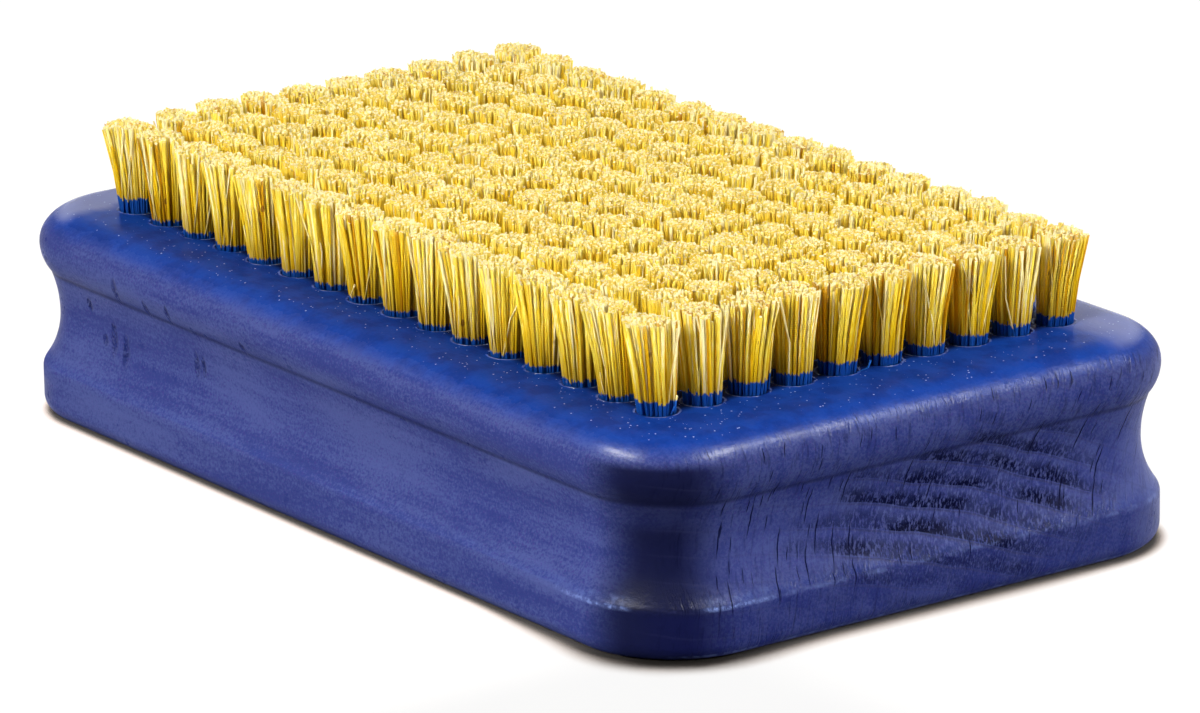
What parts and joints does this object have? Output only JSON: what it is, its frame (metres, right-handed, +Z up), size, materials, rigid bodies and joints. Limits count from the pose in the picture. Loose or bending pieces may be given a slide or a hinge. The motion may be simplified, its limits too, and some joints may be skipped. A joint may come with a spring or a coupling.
{
  "type": "ski wax brush",
  "caption": "Oblong lacquered wooden hand brush with rounded corners, a finger groove all round its sides, and a dense field of short plant-fibre tufts for brushing out wax.",
  "frame": {"origin": "centre of the block's flat back, on the surface that it lies on", "axes": "+X along the block, +Y across it, +Z up towards the bristle tips"},
  "size_m": [0.12, 0.0716, 0.0328],
  "materials": {
    "lacquered_wood": "satin blue-violet lacquer over solid wood",
    "plant_fibre": "dry golden plant fibre with pale cut tips"
  },
  "bodies": {
    "root": {"wood_block": "lacquered_wood", "tuft_row_01": "plant_fibre", "tuft_row_02": "plant_fibre", "tuft_row_03": "plant_fibre", "tuft_row_04": "plant_fibre", "tuft_row_05": "plant_fibre", "tuft_row_06": "plant_fibre", "tuft_row_07": "plant_fibre", "tuft_row_08": "plant_fibre", "tuft_row_09": "plant_fibre", "tuft_row_10": "plant_fibre", "tuft_row_11": "plant_fibre", "tuft_row_12": "plant_fibre", "tuft_row_13": "plant_fibre", "tuft_row_14": "plant_fibre", "tuft_row_15": "plant_fibre", "tuft_row_16": "plant_fibre"}
  },
  "joints": []
}
